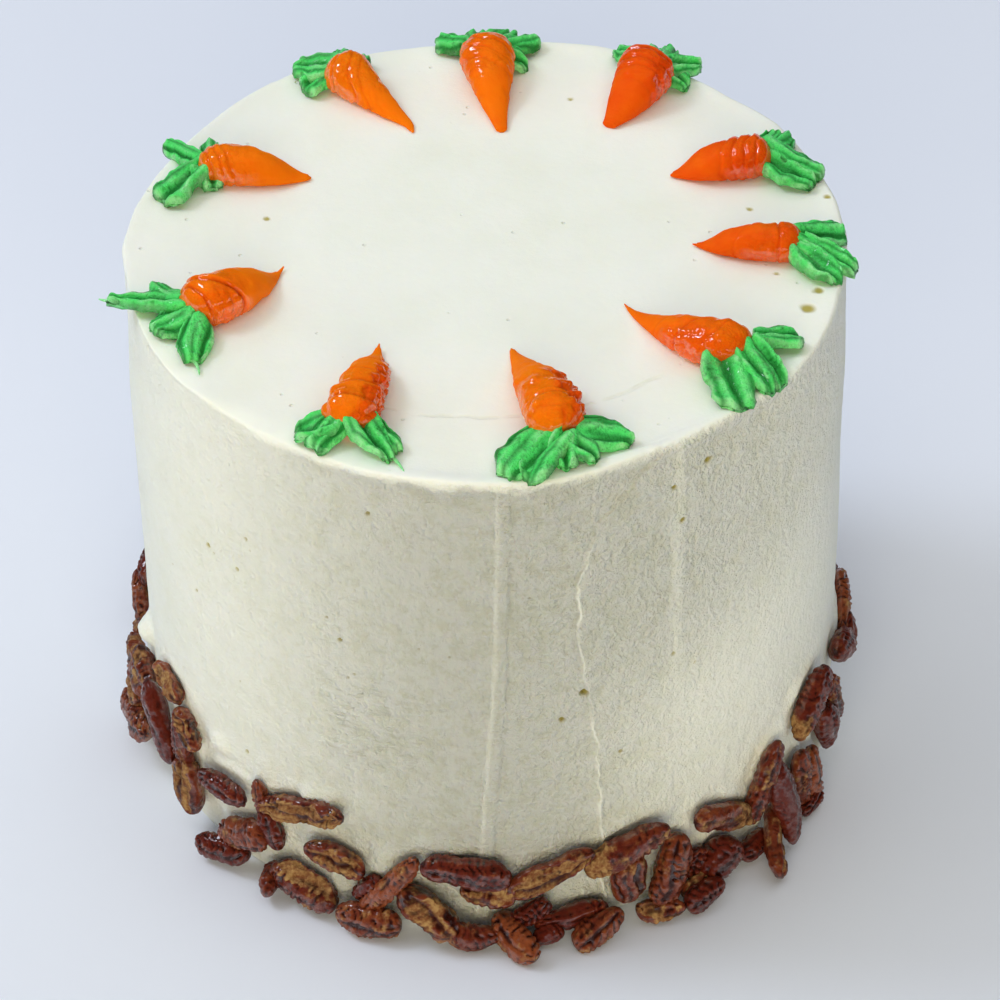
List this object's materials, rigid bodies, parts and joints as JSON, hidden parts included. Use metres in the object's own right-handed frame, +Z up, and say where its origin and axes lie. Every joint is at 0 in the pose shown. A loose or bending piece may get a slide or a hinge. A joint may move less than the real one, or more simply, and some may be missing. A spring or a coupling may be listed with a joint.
{
  "type": "carrot cake",
  "caption": "Tall round carrot cake in pale cream-cheese frosting, with piped carrots and leaf tufts round the top and a pecan border round the foot.",
  "frame": {"origin": "centre of the flat underside, on the cake's axis, where it rests on its board", "axes": "+Z up, -Y towards the side with the frosting's joint line, +X to the right seen from there"},
  "size_m": [0.2074, 0.2168, 0.1712],
  "materials": {
    "frosting": "satin",
    "carrot_icing": "glossy",
    "leaf_icing": "satin",
    "pecan": "satin"
  },
  "bodies": {
    "root": {"cake": "frosting", "carrot_01": "carrot_icing", "leaves_01": "leaf_icing", "carrot_02": "carrot_icing", "leaves_02": "leaf_icing", "carrot_03": "carrot_icing", "leaves_03": "leaf_icing", "carrot_04": "carrot_icing", "leaves_04": "leaf_icing", "carrot_05": "carrot_icing", "leaves_05": "leaf_icing", "carrot_06": "carrot_icing", "leaves_06": "leaf_icing", "carrot_07": "carrot_icing", "leaves_07": "leaf_icing", "carrot_08": "carrot_icing", "leaves_08": "leaf_icing", "carrot_09": "carrot_icing", "leaves_09": "leaf_icing", "carrot_10": "carrot_icing", "leaves_10": "leaf_icing", "pecans_01": "pecan", "pecans_02": "pecan", "pecans_03": "pecan", "pecans_04": "pecan", "pecans_05": "pecan", "pecans_06": "pecan", "pecans_07": "pecan", "pecans_08": "pecan", "pecans_09": "pecan", "pecans_10": "pecan", "pecans_11": "pecan", "pecans_12": "pecan", "pecans_13": "pecan", "pecans_14": "pecan", "pecans_15": "pecan", "pecans_16": "pecan", "pecans_17": "pecan", "pecans_18": "pecan", "pecans_19": "pecan", "pecans_20": "pecan", "pecans_21": "pecan", "pecans_22": "pecan", "pecans_23": "pecan", "pecans_24": "pecan", "pecans_25": "pecan", "pecans_26": "pecan", "pecans_27": "pecan", "pecans_28": "pecan", "pecans_29": "pecan", "pecans_30": "pecan", "pecans_31": "pecan", "pecans_32": "pecan", "pecans_33": "pecan", "pecans_34": "pecan", "pecans_35": "pecan", "pecans_36": "pecan", "pecans_37": "pecan", "pecans_38": "pecan"}
  },
  "joints": []
}
